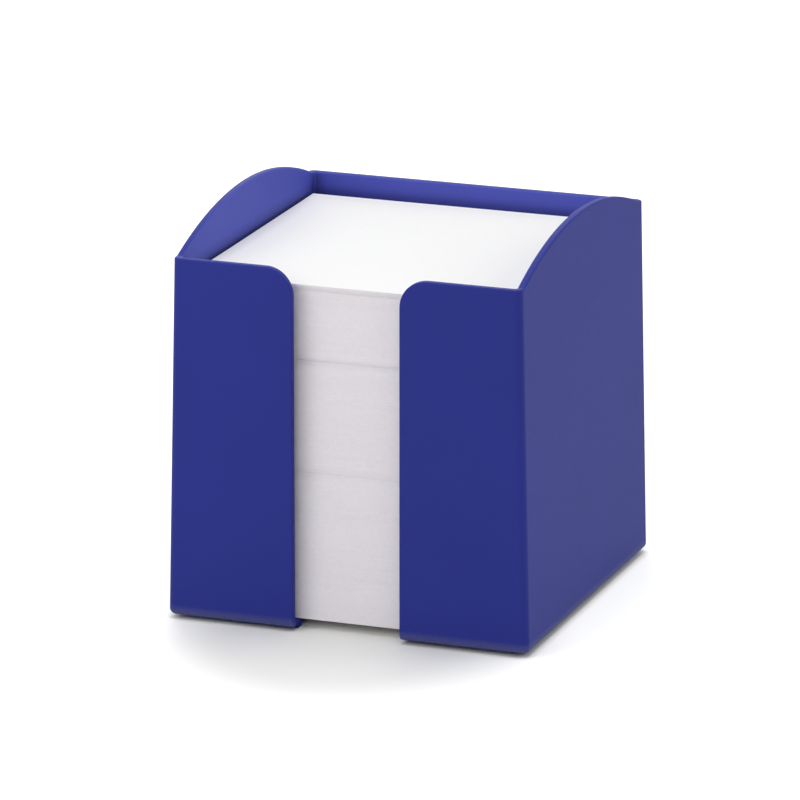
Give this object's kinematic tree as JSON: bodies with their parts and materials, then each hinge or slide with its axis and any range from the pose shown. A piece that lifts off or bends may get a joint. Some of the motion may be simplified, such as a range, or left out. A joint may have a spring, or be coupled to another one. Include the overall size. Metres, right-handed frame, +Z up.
{
  "type": "memo box",
  "caption": "Free-standing square desk box with arched side walls and an open front finger slot, holding a stack of loose square note sheets that lift out",
  "frame": {"origin": "on the table, under the middle of the box", "axes": "+Z up; the finger slot faces -Y; +X is to the right seen from the front"},
  "size_m": [0.1, 0.1, 0.1071],
  "materials": {
    "box_plastic": "satin",
    "note_paper": "matte"
  },
  "bodies": {
    "box_shell": {"box_shell": "box_plastic"},
    "note_pack_1": {"note_pack_1": "note_paper"},
    "note_pack_2": {"note_pack_2": "note_paper"},
    "note_pack_3": {"note_pack_3": "note_paper"},
    "note_pack_4": {"note_pack_4": "note_paper"},
    "note_pack_5": {"note_pack_5": "note_paper"},
    "note_pack_6": {"note_pack_6": "note_paper"},
    "note_pack_7": {"note_pack_7": "note_paper"},
    "note_pack_8": {"note_pack_8": "note_paper"},
    "note_pack_9": {"note_pack_9": "note_paper"},
    "loose_sheet_01": {"loose_sheet_01": "note_paper"},
    "loose_sheet_02": {"loose_sheet_02": "note_paper"},
    "loose_sheet_03": {"loose_sheet_03": "note_paper"},
    "loose_sheet_04": {"loose_sheet_04": "note_paper"},
    "loose_sheet_05": {"loose_sheet_05": "note_paper"},
    "loose_sheet_06": {"loose_sheet_06": "note_paper"},
    "loose_sheet_07": {"loose_sheet_07": "note_paper"},
    "loose_sheet_08": {"loose_sheet_08": "note_paper"},
    "loose_sheet_09": {"loose_sheet_09": "note_paper"},
    "loose_sheet_10": {"loose_sheet_10": "note_paper"},
    "loose_sheet_11": {"loose_sheet_11": "note_paper"},
    "loose_sheet_12": {"loose_sheet_12": "note_paper"}
  },
  "joints": [
    {"name": "note_pack_1_lift", "type": "slide", "parent": "box_shell", "child": "note_pack_1", "axis": [0, 0, 1], "range_m": [0, 0.1097]},
    {"name": "note_pack_2_lift", "type": "slide", "parent": "note_pack_1", "child": "note_pack_2", "axis": [0, 0, 1], "range_m": [0, 0.0996]},
    {"name": "note_pack_3_lift", "type": "slide", "parent": "note_pack_2", "child": "note_pack_3", "axis": [0, 0, 1], "range_m": [0, 0.0896]},
    {"name": "note_pack_4_lift", "type": "slide", "parent": "note_pack_3", "child": "note_pack_4", "axis": [0, 0, 1], "range_m": [0, 0.0796]},
    {"name": "note_pack_5_lift", "type": "slide", "parent": "note_pack_4", "child": "note_pack_5", "axis": [0, 0, 1], "range_m": [0, 0.0696]},
    {"name": "note_pack_6_lift", "type": "slide", "parent": "note_pack_5", "child": "note_pack_6", "axis": [0, 0, 1], "range_m": [0, 0.0596]},
    {"name": "note_pack_7_lift", "type": "slide", "parent": "note_pack_6", "child": "note_pack_7", "axis": [0, 0, 1], "range_m": [0, 0.0496]},
    {"name": "note_pack_8_lift", "type": "slide", "parent": "note_pack_7", "child": "note_pack_8", "axis": [0, 0, 1], "range_m": [0, 0.0395]},
    {"name": "note_pack_9_lift", "type": "slide", "parent": "note_pack_8", "child": "note_pack_9", "axis": [0, 0, 1], "range_m": [0, 0.0295]},
    {"name": "loose_sheet_01_lift", "type": "slide", "parent": "note_pack_9", "child": "loose_sheet_01", "axis": [0, 0, 1], "range_m": [0, 0.0208]},
    {"name": "loose_sheet_02_lift", "type": "slide", "parent": "loose_sheet_01", "child": "loose_sheet_02", "axis": [0, 0, 1], "range_m": [0, 0.0207]},
    {"name": "loose_sheet_03_lift", "type": "slide", "parent": "loose_sheet_02", "child": "loose_sheet_03", "axis": [0, 0, 1], "range_m": [0, 0.0206]},
    {"name": "loose_sheet_04_lift", "type": "slide", "parent": "loose_sheet_03", "child": "loose_sheet_04", "axis": [0, 0, 1], "range_m": [0, 0.0205]},
    {"name": "loose_sheet_05_lift", "type": "slide", "parent": "loose_sheet_04", "child": "loose_sheet_05", "axis": [0, 0, 1], "range_m": [0, 0.0204]},
    {"name": "loose_sheet_06_lift", "type": "slide", "parent": "loose_sheet_05", "child": "loose_sheet_06", "axis": [0, 0, 1], "range_m": [0, 0.0203]},
    {"name": "loose_sheet_07_lift", "type": "slide", "parent": "loose_sheet_06", "child": "loose_sheet_07", "axis": [0, 0, 1], "range_m": [0, 0.0202]},
    {"name": "loose_sheet_08_lift", "type": "slide", "parent": "loose_sheet_07", "child": "loose_sheet_08", "axis": [0, 0, 1], "range_m": [0, 0.0201]},
    {"name": "loose_sheet_09_lift", "type": "slide", "parent": "loose_sheet_08", "child": "loose_sheet_09", "axis": [0, 0, 1], "range_m": [0, 0.0199]},
    {"name": "loose_sheet_10_lift", "type": "slide", "parent": "loose_sheet_09", "child": "loose_sheet_10", "axis": [0, 0, 1], "range_m": [0, 0.0198]},
    {"name": "loose_sheet_11_lift", "type": "slide", "parent": "loose_sheet_10", "child": "loose_sheet_11", "axis": [0, 0, 1], "range_m": [0, 0.0197]},
    {"name": "loose_sheet_12_lift", "type": "slide", "parent": "loose_sheet_11", "child": "loose_sheet_12", "axis": [0, 0, 1], "range_m": [0, 0.0196]}
  ]
}
